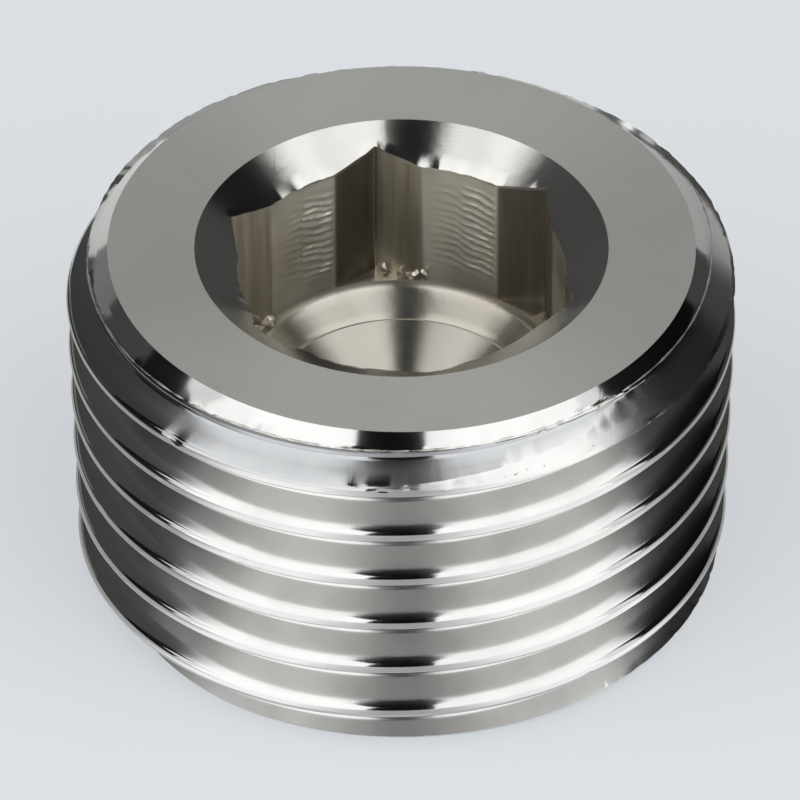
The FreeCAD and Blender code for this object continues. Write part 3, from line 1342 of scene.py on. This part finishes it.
def upright(azimuths, elevations, distance):
    """Corners of an upright card between two azimuths and two elevations from the plug."""
    turns = [azimuth * DEGREE for azimuth in azimuths]
    a, b = (Vector((math.sin(turn), math.cos(turn), 0.0)) * distance for turn in turns)
    low, high = (Vector((0.0, 0.0, distance * math.tan(angle * DEGREE))) for angle in elevations)
    return [a + low, b + low, b + high, a + high]


def on_floor(azimuths, radii):
    """Corners of a flat ring sector just over the floor, between two azimuths and two radii."""
    start, end = azimuths
    near, far = radii
    steps = range(FLOOR_CARD_STEPS + 1)
    turns = [(start + (end - start) * step / FLOOR_CARD_STEPS) * DEGREE for step in steps]
    ring = [(turn, near) for turn in turns] + [(turn, far) for turn in reversed(turns)]
    ring = [(turn, radius * MM) for turn, radius in ring]
    return [(math.sin(turn) * radius, math.cos(turn) * radius, FLOOR_CARD_HEIGHT) for turn, radius in ring]


def make_floor(tint):
    """The pale floor."""
    half = FLOOR_HALF
    corners = [(-half, -half, 0), (half, -half, 0), (half, half, 0), (-half, half, 0)]
    stage_sheet("floor", corners, floor_material(tint))


def make_cards():
    """The lit panels and walls, and the cards that the metal reflects."""
    lights = {name: glow_material(name, level) for name, level in CARD_LIGHT.items()}
    lights["floor_bounce"] = bounce_material()
    fading = fading_panel_material()
    stage_card("left_panel", overhead(LEFT_PANEL, PANEL_HEIGHT), fading, False)
    stage_card("right_panel", overhead(RIGHT_PANEL, PANEL_HEIGHT), fading, False)
    stage_card("back_strip", overhead(BACK_STRIP, PANEL_HEIGHT), lights["back_strip"])
    stage_card("gap_card", overhead(GAP_CARD, GAP_HEIGHT), lights["dark_card"])
    for place, (light, *sides) in enumerate(SIDE_WALLS):
        for side, azimuths in zip(("left", "right"), sides):
            corners = upright(azimuths, SIDE_WALL_ELEVATIONS, SIDE_WALL_DISTANCE)
            stage_card(f"{side}_wall_{place}", corners, lights[light], False)
    for name, light, azimuths, elevations, distance in UPRIGHT_CARDS:
        stage_card(name, upright(azimuths, elevations, distance), lights[light])
    for name, light, azimuths, radii in FLOOR_CARDS:
        stage_card(name, on_floor(azimuths, radii), lights[light])


def make_room(scene):
    """The grey of the room round the stage."""
    world = bpy.data.worlds.new("room")
    world.use_nodes = True
    background = world.node_tree.nodes["Background"]
    background.inputs["Color"].default_value = (ROOM_GREY, ROOM_GREY, ROOM_GREY, 1.0)
    scene.world = world


def make_camera(scene):
    """The camera, far off with a long lens, at the photo's height."""
    camera = bpy.data.objects.new("camera", bpy.data.cameras.new("camera"))
    scene.collection.objects.link(camera)
    away = Vector((0.0, -math.cos(CAMERA_ELEVATION), math.sin(CAMERA_ELEVATION)))
    camera.location = AIM + away * CAMERA_DISTANCE
    camera.rotation_mode = "QUATERNION"
    camera.rotation_quaternion = (-away).to_track_quat("-Z", "Y")
    camera.data.lens = CAMERA_LENS
    camera.data.sensor_width = CAMERA_SENSOR
    scene.camera = camera
    scene.view_settings.view_transform = "Standard"


class PLUG_OT_stage(bpy.types.Operator):
    """Makes the floor, the lit panels, the dark cards, the room's grey and the camera"""

    bl_idname = "plug.stage"
    bl_label = "Stage"

    def execute(self, context):
        make_floor(context.scene.plug_finish.floor)
        make_cards()
        make_room(context.scene)
        make_camera(context.scene)
        return {"FINISHED"}


OPERATORS = (PLUG_OT_body, PLUG_OT_burrs, PLUG_OT_stage)


class PLUG_PT_panel(bpy.types.Panel):
    """Lists the sizes, the finishes and the steps"""

    bl_idname = "PLUG_PT_panel"
    bl_label = "Threaded Hex Plug"
    bl_space_type = "VIEW_3D"
    bl_region_type = "UI"
    bl_category = "Plug"

    def draw(self, context):
        for name, group in SETTINGS.items():
            box = self.layout.box()
            for setting in group.__annotations__:
                box.prop(getattr(context.scene, name), setting)
        for operator in OPERATORS:
            self.layout.operator(operator.bl_idname)


def register():
    for name, group in SETTINGS.items():
        bpy.utils.register_class(group)
        setattr(bpy.types.Scene, name, bpy.props.PointerProperty(type=group))
    for operator in OPERATORS:
        bpy.utils.register_class(operator)
    bpy.utils.register_class(PLUG_PT_panel)


def unregister():
    bpy.utils.unregister_class(PLUG_PT_panel)
    for operator in reversed(OPERATORS):
        bpy.utils.unregister_class(operator)
    for name, group in SETTINGS.items():
        delattr(bpy.types.Scene, name)
        bpy.utils.unregister_class(group)


def main():
    """Makes every piece in order."""
    register()
    bpy.ops.plug.stage()
    bpy.ops.plug.body()
    bpy.ops.plug.burrs()


if __name__ == "__main__":
    main()
